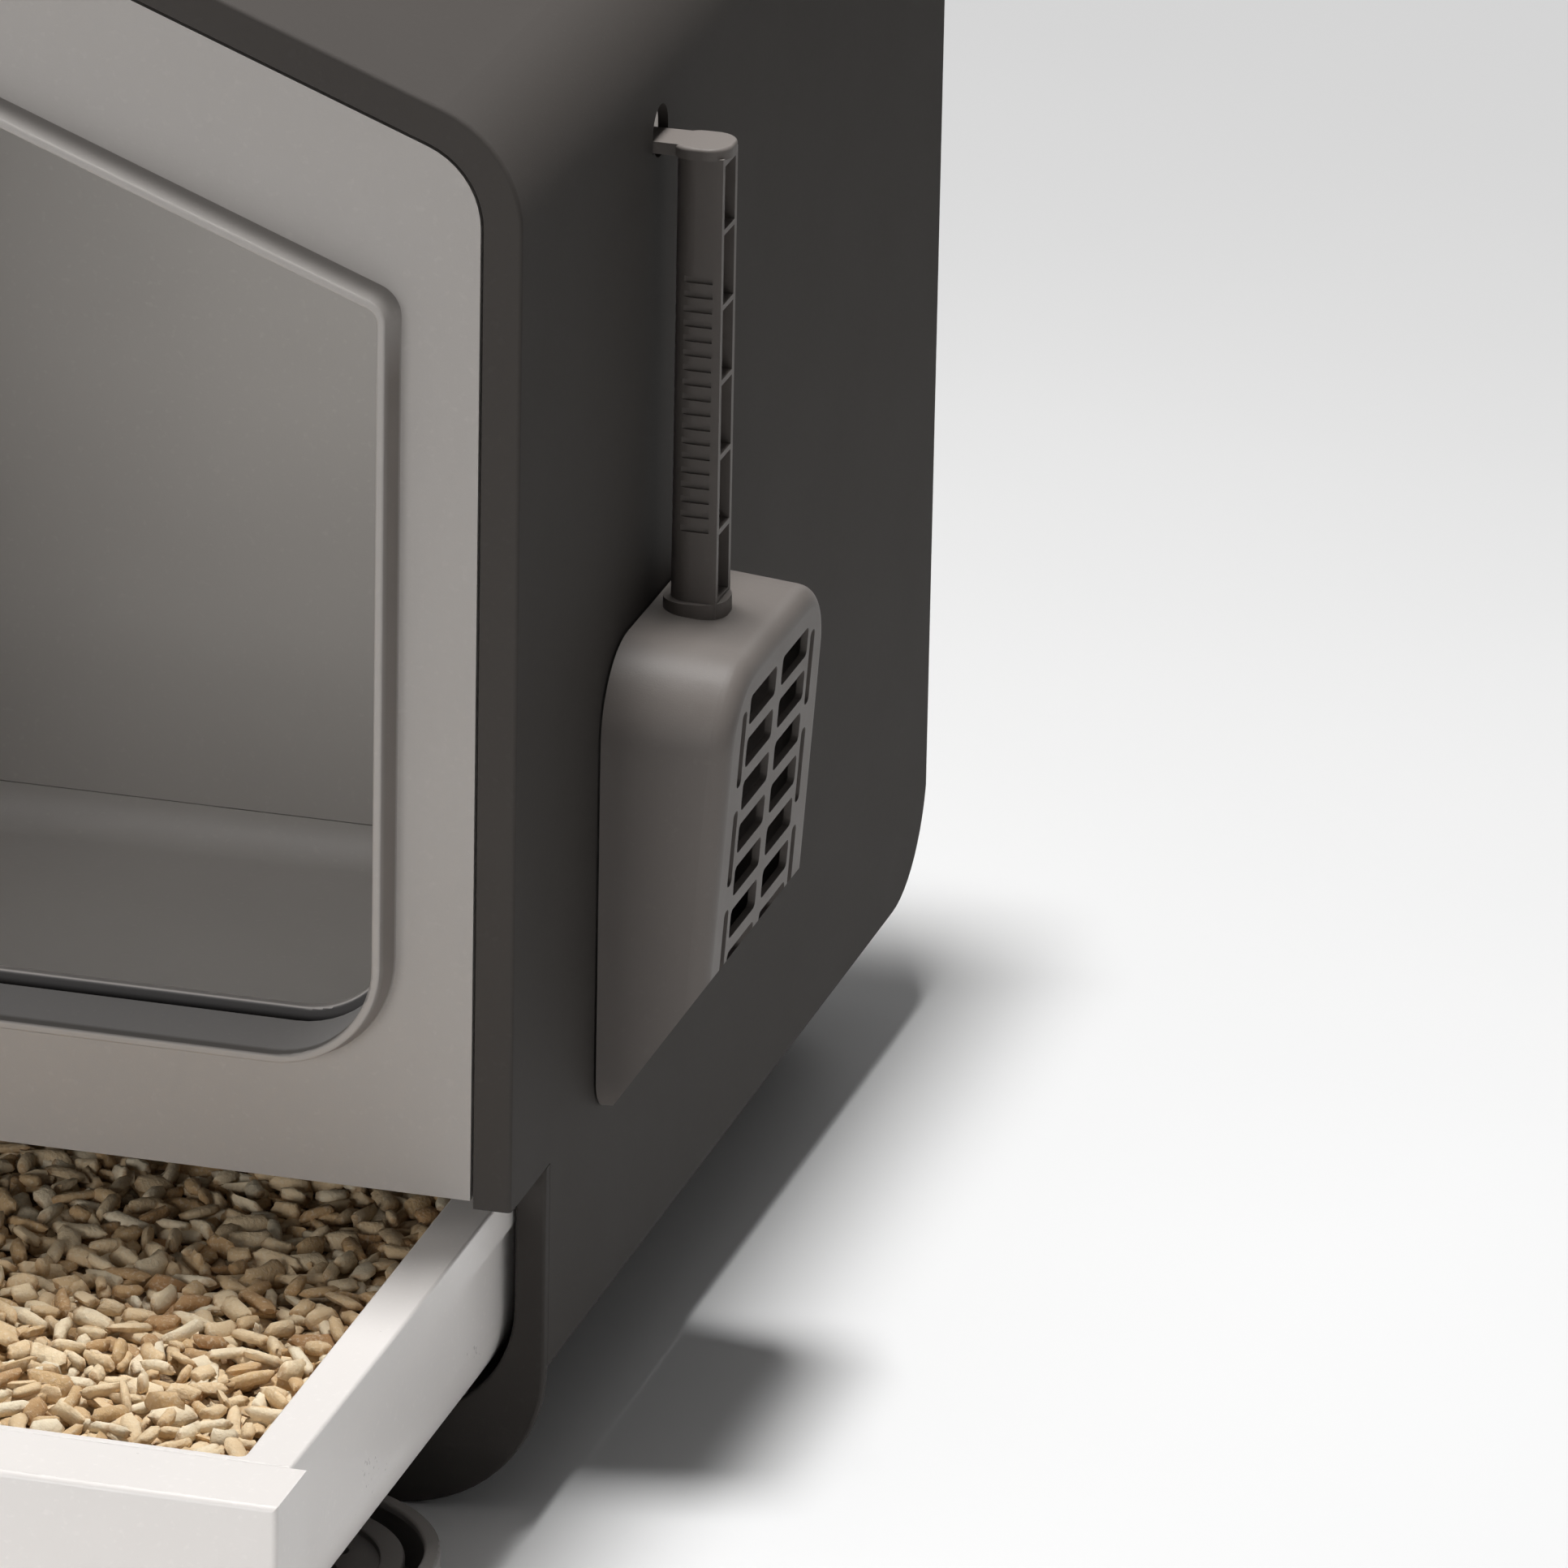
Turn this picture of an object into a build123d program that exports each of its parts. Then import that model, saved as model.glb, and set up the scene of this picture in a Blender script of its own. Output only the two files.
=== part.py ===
from build123d import *
import os
from math import cos, sin, tan, radians

# Enclosed drawer litter box, millimetres. X to the right, the entrance faces -Y, +Z up.
# The origin is on the floor under the middle of the base's front frame. The drawer is modelled pulled out.

# ---- body -------------------------------------------------------------------------------
body_width = 400.0
body_depth = 445.0
eave_height = 424.0             # where side and roof planes would meet
roof_pitch = 21.0               # degrees
eave_radius = 36.0
ridge_radius = 60.0
hood_wall = 3.0
hood_band = 11.0                # width of the dark frame round the front and rear panels
hood_edge = 1.2                 # rounding of the sleeve's front and rear edges
band_thickness = 3.0
skirt_bottom = 46.6             # lower edge of the hood's side walls
skirt_corner_radius = 38.0      # rear lower corner of a side wall
notch_height = 109.0            # top of the recess that takes the drawer front
notch_depth = 34.5

# ---- light panels -----------------------------------------------------------------------
panel_gap = 0.9                 # shadow gap to the dark band
panel_bottom = 111.6
rebate_thickness = 2.4
seat_gap = 0.3                  # running and seating clearance between loose pieces
rear_panel_bottom = 86.0
drip_edge_thickness = 1.8       # rear panel's lower lip, which hangs inside the tub
drip_edge_side = 12.0           # its ends, in from the liner's

# ---- entrance ---------------------------------------------------------------------------
opening_half_width = 161.2
opening_bottom = 152.2
opening_eave_drop = 49.1        # eave to where the opening's side meets its sloping top
opening_eave_radius = 4.5
opening_ridge_radius = 40.0
opening_lower_radius = 30.0
collar_height = 9.0             # how far the raised collar stands in front of the panel
collar_edge = 2.4
collar_foot = 4.6               # collar width where it joins the panel
collar_rounding = 0.8
tunnel_depth = 17.5             # sill behind the panel's face
ring_gap = 4.8                  # shadow groove between the sill and the inner frame
ring_rounding = 0.9
ring_lip = 2.2                  # inner frame stands inside the opening by this much
ring_flange = 7.0
ring_thickness = 3.0

# ---- base -------------------------------------------------------------------------------
foot_height = 12.0              # tub floor above the ground
tub_inset = 6.0                 # tub's side, in from the hood's
tub_wall = 3.0
tub_roll = 46.0                 # rounding along the tub's lower edges
tub_corner = 14.0
tub_rim = 104.0
rim_lip = 2.5                   # outward bead along the tub's rim
rim_lip_height = 2.5
frame_thickness = 4.0           # front frame of the base, under the notch
frame_rounding = 1.0
frame_opening_bottom = 27.0
liner_top = 29.0
liner_thickness = 2.5
liner_inset = 19.0              # liner's side, in from the tub's
liner_cove = 12.0
liner_rib_spacing = 70.0
liner_rib_thickness = 2.5
liner_rib_half_width = 140.0
liner_rear_wall = 2.0
runner_spacing = 240.0
runner_width = 8.0
runner_height = 0.7
runner_end_gap = 60.0           # runners stop short of the rear wall
foot_diameter = 24.0
foot_recess = 1.5
foot_half_spacing = 120.0
foot_inset = 60.0               # feet from the body's front and rear
keel_half_width = 140.0
keel_count = 3
keel_height = 4.0
foot_stud = 8.0
foot_rounding = 2.0
socket_wall = 2.3
ledge_width = 5.2
ledge_thickness = 2.5
ledge_margin = 12.0             # ledge's ends, in from the frame and the rear

# ---- drawer -----------------------------------------------------------------------------
pull_out = 204.0                # drawer travel from closed to the modelled place
drawer_setback = 1.0            # closed drawer front to the base's front frame
front_inset = 5.4               # drawer front's side, in from the hood's
front_thickness = 26.5
front_top = 102.0
front_bottom = 24.0
front_radius = 38.0
front_wall = 3.0
finger_pull_width = 110.0
finger_pull_height = 26.0
finger_pull_depth = 14.0
finger_pull_z = 52.0
front_edge = 1.8                # rounding of the drawer front's edges
front_rib_places = (100.0, 150.0)
front_rib = 2.0
front_rib_foot = 12.0           # ribs start above the front's lower edge
boss_radius = 4.0
rim_clearance = 1.0             # litter guard to the tub's inside
rim_overhang = 2.8              # litter guard's side beyond the tray's
tray_length = 313.0
tray_bottom = 30.0
tray_wall = 2.8
tray_roll = 32.0
tray_corner = 12.0
rim_bar = 14.4                  # top width of the litter guard's side bars
rim_front_bar = 3.5
rim_thickness = 2.6
rim_skirt = 12.0
rim_clip = 5.0
rim_rounding = 1.0
litter_level = 91.5
litter_swell = 1.3              # gentle mounds on the litter
litter_mound = 24.0             # spacing of the grid they are drawn through
screw_head = 7.0
screw_head_height = 2.0
screw_shank = 3.0
screw_length = 9.0
screw_spread = 125.0            # screws from the middle
screw_rows = (48.0, 80.0)

# ---- scoop ------------------------------------------------------------------------------
scoop_y = 134.5                 # scoop's middle, from the body's front
bowl_width = 107.0              # at the mouth
bowl_depth = 38.5
bowl_draft = 4.5                # degrees, sides close in towards the plate
bowl_wall_gap = 0.7             # bowl rim to the hood's side
bowl_height = 139.0
lip_height = 43.0               # the slanted lip, up to where the plate turns
bowl_taper = 7.0                # plate comes closer to the side wall by this much
bowl_wall = 2.2
bowl_upper_radius = 26.0
bowl_lower_radius = 11.0
bowl_edge_radius = 6.0
handle_size = 15.0
handle_gap = 5.7                # handle to the hood's side
handle_wall = 2.2
handle_top_drop = 42.0          # eave to the handle's top
handle_length = 136.0
handle_corner = 7.0
grip_count = 18
grip_pitch = 4.4
grip_depth = 0.7
grip_width = 2.6
grip_top_drop = 36.0            # handle's top to the first grip ring
rib_pitch = 22.5
rib_thickness = 1.6
cap_thickness = 3.5
cap_margin = 1.2
cap_rounding = 1.0
tab_width = 13.0
slot_side_gap = 1.2
slot_rise = 12.5                # slot's top above the handle's
hook_drop = 2.0
hook_gap = 3.5
hook_thickness = 2.0
lattice_rows = 6
lattice_pitch = 13.2
lattice_top_margin = 19.0
lattice_hole_width = 27.0
lattice_hole_height = 9.0
lattice_rib = 6.0
lattice_slot_width = 4.5
lattice_slot_length = 23.0
lattice_slot_pitch = 30.5
lattice_slot_drop = 10.0        # first hole row to the first border slots
lattice_corner = 1.8

# ---- step -------------------------------------------------------------------------------
step_inset = 7.0                # step's side, in from the body's
step_edge = 0.9
step_lip = 2.2                  # inward lip along the step's rim
step_depth = 120.0
step_back = 2.0                 # step's rear edge, from the body's front
step_radius = 50.0
step_height = 20.0
step_wall = 2.4
step_floor = 2.5
deck_inset = 10.0
deck_top = 17.0
deck_thickness = 2.5
deck_recess = 2.0
deck_rounding = 0.6
deck_border = 7.0
deck_slot_length = 40.0
deck_slot_width = 6.0
deck_slot_pitch = 12.0
deck_column_pitch = 48.0
deck_rows = 5
deck_columns = 7
tongue_width = 28.0
tongue_z = 5.5
tongue_thickness = 3.0
tongue_half_spacing = 90.0
tongue_reach = 8.0              # how far a tongue passes the front frame

front = -notch_depth - frame_thickness / 2
half = body_width / 2
slope = tan(radians(roof_pitch))
lean = cos(radians(roof_pitch))
tub_half_width = half - tub_inset
liner_half_width = tub_half_width - liner_inset
front_half_width = half - front_inset
rim_half_width = tub_half_width - tub_wall - rim_clearance
tray_half_width = rim_half_width - rim_overhang
step_half_width = half - step_inset
opening_eave = eave_height - opening_eave_drop
handle_top = eave_height - handle_top_drop
slot_top = handle_top + slot_rise
grip_top = handle_top - grip_top_drop
bowl_top = handle_top - handle_length
bowl_bottom = bowl_top - bowl_height
bowl_bend = bowl_bottom + lip_height
lattice_first = bowl_top - lattice_top_margin
closed_front = notch_depth - drawer_setback - front_thickness
drawer_front_y = front + closed_front - pull_out
tray_front_y = drawer_front_y + front_thickness + 0.2
frame_y = front + notch_depth
rear_face = front + body_depth - band_thickness - seat_gap - rebate_thickness


def along_y(face, start, end):
    """Extrudes a face drawn in X and Z from one Y to another."""
    plane = Plane(origin=(0, end, 0), x_dir=(1, 0, 0), z_dir=(0, -1, 0))
    return extrude(plane * face, amount=end - start)


def along_x(face, start, end):
    """Extrudes a face drawn in Y and Z from one X to another."""
    plane = Plane(origin=(start, 0, 0), x_dir=(0, 1, 0), z_dir=(1, 0, 0))
    return extrude(plane * face, amount=end - start)


def along_z(face, start, end):
    return extrude(Pos(0, 0, start) * face, amount=end - start)


def box(x0, x1, y0, y1, z0, z1):
    centre = Pos((x0 + x1) / 2, (y0 + y1) / 2, (z0 + z1) / 2)
    return centre * Box(x1 - x0, y1 - y0, z1 - z0)


def rounded(points, radii):
    """A polygon with each corner rounded by its own radius."""
    face = Polygon(*points, align=None)
    for point, radius in zip(points, radii):
        if radius > 0.05:
            corner = face.vertices().sort_by_distance(Vector(point[0], point[1], 0))[0]
            face = fillet(corner, radius)
    return face


def house(inset, bottom, lower_radius=0.0):
    """The body's house-shaped outline, drawn in by an inset."""
    side = half - inset
    eave = eave_height + inset * slope - inset / lean
    ridge = eave_height + half * slope - inset / lean
    points = [(-side, bottom), (side, bottom), (side, eave), (0, ridge), (-side, eave)]
    eaves = eave_radius - inset
    return rounded(points, [lower_radius, lower_radius, eaves, ridge_radius - inset, eaves])


def doorway(grow):
    """The entrance outline, grown outwards."""
    side = opening_half_width + grow
    eave = opening_eave - grow * slope + grow / lean
    ridge = opening_eave + opening_half_width * slope + grow / lean
    points = [(-side, opening_bottom - grow), (side, opening_bottom - grow)]
    points += [(side, eave), (0, ridge), (-side, eave)]
    lower = opening_lower_radius + grow
    upper = opening_eave_radius + grow
    return rounded(points, [lower, lower, upper, opening_ridge_radius + grow, upper])


def channel(side, bottom, top, roll):
    """A U-shaped section: straight sides with rounded lower corners."""
    points = [(-side, bottom), (side, bottom), (side, top), (-side, top)]
    return rounded(points, [roll, roll, 0, 0])


def mirrored(shape):
    return shape + mirror(shape, Plane.YZ)


def save(name, shape):
    export_step(Compound(label=name, children=shape.solids()), f"parts/{name}.step")


# ---- hood: a folded house-shaped sleeve with a frame at each end -------------------------
def hood_shell():
    rear = front + body_depth
    sleeve = along_y(house(0, skirt_bottom), front, rear)
    ends = sleeve.faces().sort_by(Axis.Y)
    sleeve = fillet(ends[0].edges().sort_by(Axis.Z)[1:] + ends[-1].edges().sort_by(Axis.Z)[1:], hood_edge)
    sleeve -= along_y(house(hood_wall, 0), front - 1, rear + 1)
    frame = house(hood_wall - 1, skirt_bottom) - house(hood_band, 0)
    sleeve += along_y(frame, front, front + band_thickness)
    sleeve += along_y(frame, rear - band_thickness, rear)
    # ledges that rest on the base's rim
    ledge_z = tub_rim + seat_gap
    ledge_in = half - hood_wall - ledge_width
    ledge = box(ledge_in, half - hood_wall, frame_y + ledge_margin, rear - ledge_margin, ledge_z, ledge_z + ledge_thickness)
    sleeve += mirrored(ledge)
    # recess for the drawer front, with room for the base's front frame
    sleeve -= box(-half - 1, half + 1, front - 1, frame_y + frame_thickness + seat_gap, 0, notch_height + seat_gap)
    # rounded rear lower corners
    corner = box(-half - 1, half + 1, rear - skirt_corner_radius, rear + 1, 0, skirt_bottom + skirt_corner_radius)
    roller = Cylinder(skirt_corner_radius, body_width + 4, rotation=(0, 90, 0))
    corner -= Pos(0, rear - skirt_corner_radius, skirt_bottom + skirt_corner_radius) * roller
    sleeve -= corner
    return sleeve - scoop_slot()


def scoop_slot():
    """Arched hole in the right-hand wall for the scoop's hook."""
    width = tab_width + 2 * slot_side_gap
    bottom = handle_top - seat_gap
    radius = width / 2
    arch = Pos(0, slot_top - radius) * Circle(radius)
    shaft = Pos(0, (bottom + slot_top - radius) / 2) * Rectangle(width, slot_top - radius - bottom)
    outline = Pos(front + scoop_y, 0) * (arch + shaft)
    return along_x(outline, half - hood_wall - 1, half + 1)


def end_panel(bottom, face_y, inward):
    """Flat panel with a stepped edge that sits behind the dark band."""
    visible = house(hood_band + panel_gap, bottom)
    hidden = house(hood_wall + seat_gap, bottom)
    face_end = face_y + inward * band_thickness
    step_start = face_end + inward * seat_gap
    step_end = step_start + inward * rebate_thickness
    plate = along_y(visible, min(face_y, step_end), max(face_y, step_end))
    return plate + along_y(hidden, min(step_start, step_end), max(step_start, step_end))


def front_panel():
    panel = end_panel(panel_bottom, front, 1)
    collar_front = front - collar_height
    foot = Plane(origin=(0, front + 0.5, 0), x_dir=(1, 0, 0), z_dir=(0, -1, 0)) * doorway(collar_foot)
    edge = Plane(origin=(0, collar_front, 0), x_dir=(1, 0, 0), z_dir=(0, -1, 0)) * doorway(collar_edge)
    panel += loft([foot.face(), edge.face()], ruled=True)
    panel += along_y(doorway(collar_edge), front, front + tunnel_depth)
    panel -= along_y(doorway(0), collar_front - 1, front + tunnel_depth + 1)
    return fillet(panel.faces().sort_by(Axis.Y)[0].edges(), collar_rounding)


def entrance_frame():
    """Ring behind the sill whose thin edge shows inside the doorway."""
    start = front + tunnel_depth + ring_gap
    ring = along_y(doorway(ring_flange) - doorway(-ring_lip), start, start + ring_thickness)
    near_edges = ring.faces().sort_by(Axis.Y)[0].inner_wires()[0].edges()
    ring = fillet(near_edges, ring_rounding)
    lip = doorway(collar_edge + seat_gap + 2.0) - doorway(collar_edge + seat_gap)
    return ring + along_y(lip, start - 8, start + ring_thickness)


def rear_panel():
    panel = end_panel(rear_panel_bottom, front + body_depth, -1)
    side = liner_half_width - drip_edge_side
    bottom = liner_top + liner_cove + seat_gap
    return panel + box(-side, side, rear_face, rear_face + drip_edge_thickness, bottom, rear_panel_bottom + 1)


# ---- base: a tub with a front frame, a light liner and feet ------------------------------
def tub_hollow(clearance):
    """The tub's inside, drawn in by a clearance."""
    inner_roll = tub_roll - tub_wall - clearance
    side = tub_half_width - tub_wall - clearance
    section = channel(side, foot_height + tub_wall + clearance, tub_rim + 20, inner_roll)
    hollow = along_y(section, frame_y, rear_face + liner_rear_wall + seat_gap - clearance)
    end_edges = hollow.faces().sort_by(Axis.Y)[-1].edges().sort_by(Axis.Z)[:-1]
    return fillet(end_edges, tub_corner - tub_wall - clearance)


def base_tub():
    back = rear_face + liner_rear_wall + seat_gap + tub_wall
    start = frame_y + frame_thickness
    outer = along_y(channel(tub_half_width, foot_height, tub_rim, tub_roll), start - 0.5, back)
    outer = fillet(outer.faces().sort_by(Axis.Y)[-1].edges().sort_by(Axis.Z)[:-1], tub_corner)
    tub = outer - tub_hollow(0)
    tub -= box(-half, half, back - tub_corner, back + 1, rear_panel_bottom - seat_gap, tub_rim + 1)
    bead = box(tub_half_width - tub_wall, tub_half_width + rim_lip, start - 0.5, back - 2 * tub_corner,
               tub_rim - rim_lip_height, tub_rim)
    tub += mirrored(bead)
    for index in range(keel_count):
        keel_y = start + (back - start) * (index + 1) / (keel_count + 1)
        tub += box(-keel_half_width, keel_half_width, keel_y, keel_y + tub_wall, foot_height - keel_height,
                   foot_height + 1)
    opening = channel(tub_half_width - tub_wall, frame_opening_bottom, notch_height + 5, tub_roll - 8)
    frame = along_y(channel(half, 0, notch_height, tub_roll) - opening, frame_y, frame_y + frame_thickness)
    tub += fillet(frame.faces().sort_by(Axis.Y)[0].edges(), frame_rounding)
    for foot_x, foot_y in foot_places():
        socket = ring_of(foot_diameter / 2 + 0.2 + socket_wall, foot_diameter / 2 + 0.2, 2 * foot_recess)
        tub += Pos(foot_x, foot_y, foot_height - foot_recess) * socket
        tub -= Pos(foot_x, foot_y, foot_height) * Cylinder(foot_stud / 2, 20)
    for side in (-1, 1):
        slot = Box(tongue_width + 1.5, 4 * frame_thickness, tongue_thickness + 1.5)
        tub -= Pos(side * tongue_half_spacing, frame_y, tongue_z + tongue_thickness / 2) * slot
    return tub


def ring_of(outer, inner, height):
    return Cylinder(outer, height) - Cylinder(inner, height + 1)


def foot_places():
    near = front + foot_inset
    far = front + body_depth - foot_inset
    return [(-foot_half_spacing, near), (foot_half_spacing, near),
            (-foot_half_spacing, far), (foot_half_spacing, far)]


def rubber_foot(place):
    foot_x, foot_y = place
    pad = Cylinder(foot_diameter / 2, foot_height, align=(Align.CENTER, Align.CENTER, Align.MIN))
    pad = fillet(pad.edges().sort_by(Axis.Z)[0], foot_rounding)
    stud = Pos(0, 0, foot_height) * Cylinder(foot_stud / 2 - 0.2, tub_wall + 1.2,
                                             align=(Align.CENTER, Align.CENTER, Align.MIN))
    head = Pos(0, 0, foot_height + tub_wall + 0.1) * Cylinder(
        foot_stud / 2 + 1, 1.5, align=(Align.CENTER, Align.CENTER, Align.MIN))
    return Pos(foot_x, foot_y, 0) * (pad + stud + head)


def floor_liner():
    """Light floor of the cabin with a coved rear edge, ribs below and two runners on top."""
    start = frame_y + frame_thickness + seat_gap
    end = rear_face + liner_rear_wall
    floor_z = liner_top - liner_thickness
    liner = box(-liner_half_width, liner_half_width, start, end, floor_z, liner_top)
    wall_front = rear_face
    liner += box(-liner_half_width, liner_half_width, wall_front, end, floor_z, liner_top + liner_cove)
    cove = box(-liner_half_width, liner_half_width, wall_front - liner_cove, wall_front, liner_top,
               liner_top + liner_cove)
    roller = Cylinder(liner_cove, 2 * liner_half_width + 2, rotation=(0, 90, 0))
    liner += cove - Pos(0, wall_front - liner_cove, liner_top + liner_cove) * roller
    tub_floor = foot_height + tub_wall + seat_gap
    count = int((end - start) // liner_rib_spacing)
    for index in range(count):
        rib_y = start + liner_rib_spacing * (index + 0.5)
        liner += box(-liner_rib_half_width, liner_rib_half_width, rib_y, rib_y + liner_rib_thickness, tub_floor, floor_z + 0.5)
    runner = box(runner_spacing / 2 - runner_width / 2, runner_spacing / 2 + runner_width / 2, start,
                 wall_front - runner_end_gap, liner_top, liner_top + runner_height)
    return (liner + mirrored(runner)) & tub_hollow(seat_gap)


# ---- drawer ------------------------------------------------------------------------------
def drawer_front():
    points = [(-front_half_width, front_bottom), (front_half_width, front_bottom)]
    points += [(front_half_width, front_top), (-front_half_width, front_top)]
    outline = rounded(points, [front_radius, front_radius, 0, 0])
    inner_points = [(-front_half_width + front_wall, front_bottom + front_wall),
                    (front_half_width - front_wall, front_bottom + front_wall),
                    (front_half_width - front_wall, front_top - front_wall),
                    (-front_half_width + front_wall, front_top - front_wall)]
    inner_radius = front_radius - front_wall
    hollow = rounded(inner_points, [inner_radius, inner_radius, 0, 0])
    back = drawer_front_y + front_thickness
    body = along_y(outline, drawer_front_y, back)
    body = fillet(body.faces().sort_by(Axis.Y)[0].edges(), front_edge)
    body -= along_y(hollow, drawer_front_y + front_wall, back + 1)
    # recessed finger pull, moulded as a cup
    cup = SlotOverall(finger_pull_width, finger_pull_height)
    cup_outer = Pos(0, finger_pull_z) * offset(cup, front_wall)
    cup_inner = Pos(0, finger_pull_z) * cup
    body += along_y(cup_outer, drawer_front_y, drawer_front_y + finger_pull_depth + front_wall)
    body -= along_y(cup_inner, drawer_front_y - 1, drawer_front_y + finger_pull_depth)
    for rib_x in front_rib_places:
        rib = box(rib_x - front_rib / 2, rib_x + front_rib / 2, drawer_front_y + front_wall / 2, back - front_wall,
                  front_bottom + front_rib_foot, front_top - front_wall / 2)
        body += mirrored(rib)
    for screw_x, screw_z in screw_places():
        boss = Pos(screw_x, (drawer_front_y + back) / 2 + 0.5, screw_z) * Cylinder(
            boss_radius, front_thickness - 1, rotation=(90, 0, 0))
        body += boss
        body -= Pos(screw_x, back, screw_z) * Cylinder(screw_shank / 2, 2 * screw_length,
                                                       rotation=(90, 0, 0))
    return body


def screw_places():
    return [(side * screw_spread, height) for height in screw_rows for side in (-1, 1)]


def drawer_screws():
    """Pan-head screws from inside the tray into the drawer front's bosses."""
    head_y = tray_front_y + tray_wall
    group = None
    for screw_x, screw_z in screw_places():
        head = Pos(screw_x, head_y + screw_head_height / 2, screw_z) * Cylinder(
            screw_head / 2, screw_head_height, rotation=(90, 0, 0))
        head = fillet(head.edges().sort_by(Axis.Y)[-1], 0.4 * screw_head_height)
        shank = Pos(screw_x, head_y - screw_length / 2 + 0.5, screw_z) * Cylinder(
            screw_shank / 2 - 0.05, screw_length + 1, rotation=(90, 0, 0))
        screw = head + shank
        group = screw if group is None else group + screw
    return group


def drawer_tray():
    end = tray_front_y + tray_length
    top = front_top - rim_thickness - seat_gap
    outer = along_y(channel(tray_half_width, tray_bottom, top, tray_roll), tray_front_y, end)
    outer = fillet(outer.faces().sort_by(Axis.Y)[-1].edges().sort_by(Axis.Z)[:-1], tray_corner)
    inner_side = tray_half_width - tray_wall
    inner = along_y(channel(inner_side, tray_bottom + tray_wall, top + tray_roll, tray_roll - tray_wall),
                    tray_front_y + tray_wall, end - tray_wall)
    inner_edges = inner.faces().sort_by(Axis.Y)[-1].edges().sort_by(Axis.Z)[:-1]
    inner = fillet(inner_edges, tray_corner - tray_wall)
    tray = outer - inner
    for screw_x, screw_z in screw_places():
        tray -= Pos(screw_x, tray_front_y, screw_z) * Cylinder(screw_shank / 2 + 0.1, 4 * tray_wall,
                                                               rotation=(90, 0, 0))
    return tray


def rim_outline(inset, front_inset, radius):
    """Plan of the litter guard, as a rectangle with rounded corners."""
    side = rim_half_width - inset
    near = tray_front_y + front_inset
    far = tray_front_y + tray_length + rim_half_width - tray_half_width - inset
    points = [(-side, near), (side, near), (side, far), (-side, far)]
    return rounded(points, radius)


def drawer_rim():
    """Guard frame clipped over the tray's edge: flat top, outer skirt and inner clip wall."""
    top = front_top
    corner = tray_corner + rim_half_width - tray_half_width
    outer = rim_outline(0, 0, [0, 0, corner, corner])
    inner = rim_outline(rim_bar, rim_front_bar, [2, 2, 6, 6])
    frame = along_z(outer - inner, top - rim_thickness, top)
    skirt_inner = rim_outline(rim_half_width - tray_half_width - seat_gap, -1,
                              [0, 0, tray_corner + seat_gap, tray_corner + seat_gap])
    frame += along_z(outer - skirt_inner, top - rim_skirt, top - rim_thickness + 0.5)
    overhang = rim_half_width - tray_half_width
    clip_inset = overhang + tray_wall + seat_gap
    clip_radius = tray_corner - tray_wall - seat_gap
    clip_outer = rim_outline(clip_inset, tray_wall + seat_gap, [0, 0, clip_radius, clip_radius])
    clip_inner = rim_outline(clip_inset + 2, tray_wall + seat_gap + 2, [0, 0, clip_radius - 2, clip_radius - 2])
    behind = box(-half, half, tray_front_y + rim_bar, tray_front_y + tray_length + rim_bar, 0, 2 * front_top)
    frame += along_z(clip_outer - clip_inner, top - rim_thickness - rim_clip, top - rim_thickness + 0.5) & behind
    return fillet(frame.faces().sort_by(Axis.Z)[-1].edges(), rim_rounding)


def litter_bed():
    """Bed of pellets that fills the tray."""
    side = tray_half_width - tray_wall - seat_gap
    bottom = tray_bottom + tray_wall + seat_gap
    near = tray_front_y + tray_wall + screw_head_height + 2 * seat_gap
    far = tray_front_y + tray_length - tray_wall - seat_gap
    roll = tray_roll - tray_wall - seat_gap
    bed = along_y(channel(side, bottom, litter_level + 2 * litter_swell, roll), near, far)
    bed = fillet(bed.faces().sort_by(Axis.Y)[-1].edges().sort_by(Axis.Z)[:-1], tray_corner)
    # the top is one smooth face through a grid of uneven heights
    columns = int(2 * side // litter_mound) + 3
    rows = int((far - near) // litter_mound) + 3
    grid = []
    for row in range(rows):
        y = near + (row - 1) * litter_mound
        heights = [litter_level + litter_swell * sin(1.2 * column + 1.5 * row) for column in range(columns)]
        grid.append([Vector(-side + (column - 1) * litter_mound, y, z) for column, z in enumerate(heights)])
    surface = Face.make_surface_from_array_of_points(grid)
    return bed & extrude(surface, amount=2 * litter_level, dir=(0, 0, -1))


# ---- scoop: hangs on the right-hand side, mouth towards the wall -------------------------
def bowl_solid(inset):
    """The scoop's bowl as a closed form, every side but the mouth drawn in."""
    rim_x = half + bowl_wall_gap
    plate_x = rim_x + bowl_depth - inset
    mouth = rim_x if inset == 0 else rim_x - 1
    top = bowl_top - inset
    bend_x = plate_x - bowl_taper
    lip = inset * 1.25
    side_profile = Polygon((mouth, bowl_bottom + lip), (rim_x + 2.5, bowl_bottom + lip),
                           (bend_x, bowl_bend + inset * 0.4), (plate_x, top), (mouth, top), align=None)
    width = bowl_width / 2 - inset
    middle = front + scoop_y
    wedge = along_y(side_profile, middle - width, middle + width)
    upper = bowl_upper_radius - inset
    lower = bowl_lower_radius - inset
    points = [(middle - width, bowl_bottom), (middle + width, bowl_bottom)]
    points += [(middle + width, top), (middle - width, top)]
    plan = rounded(points, [lower, lower, upper, upper])
    mouth_plane = Plane(origin=(mouth, 0, 0), x_dir=(0, 1, 0), z_dir=(1, 0, 0))
    form = wedge & extrude(mouth_plane * plan, amount=plate_x + 1 - mouth, taper=bowl_draft)
    outer_face = form.faces().sort_by(Axis.X)[-1]
    return fillet(outer_face.edges().sort_by(Axis.Z)[1:], bowl_edge_radius - inset)


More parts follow.
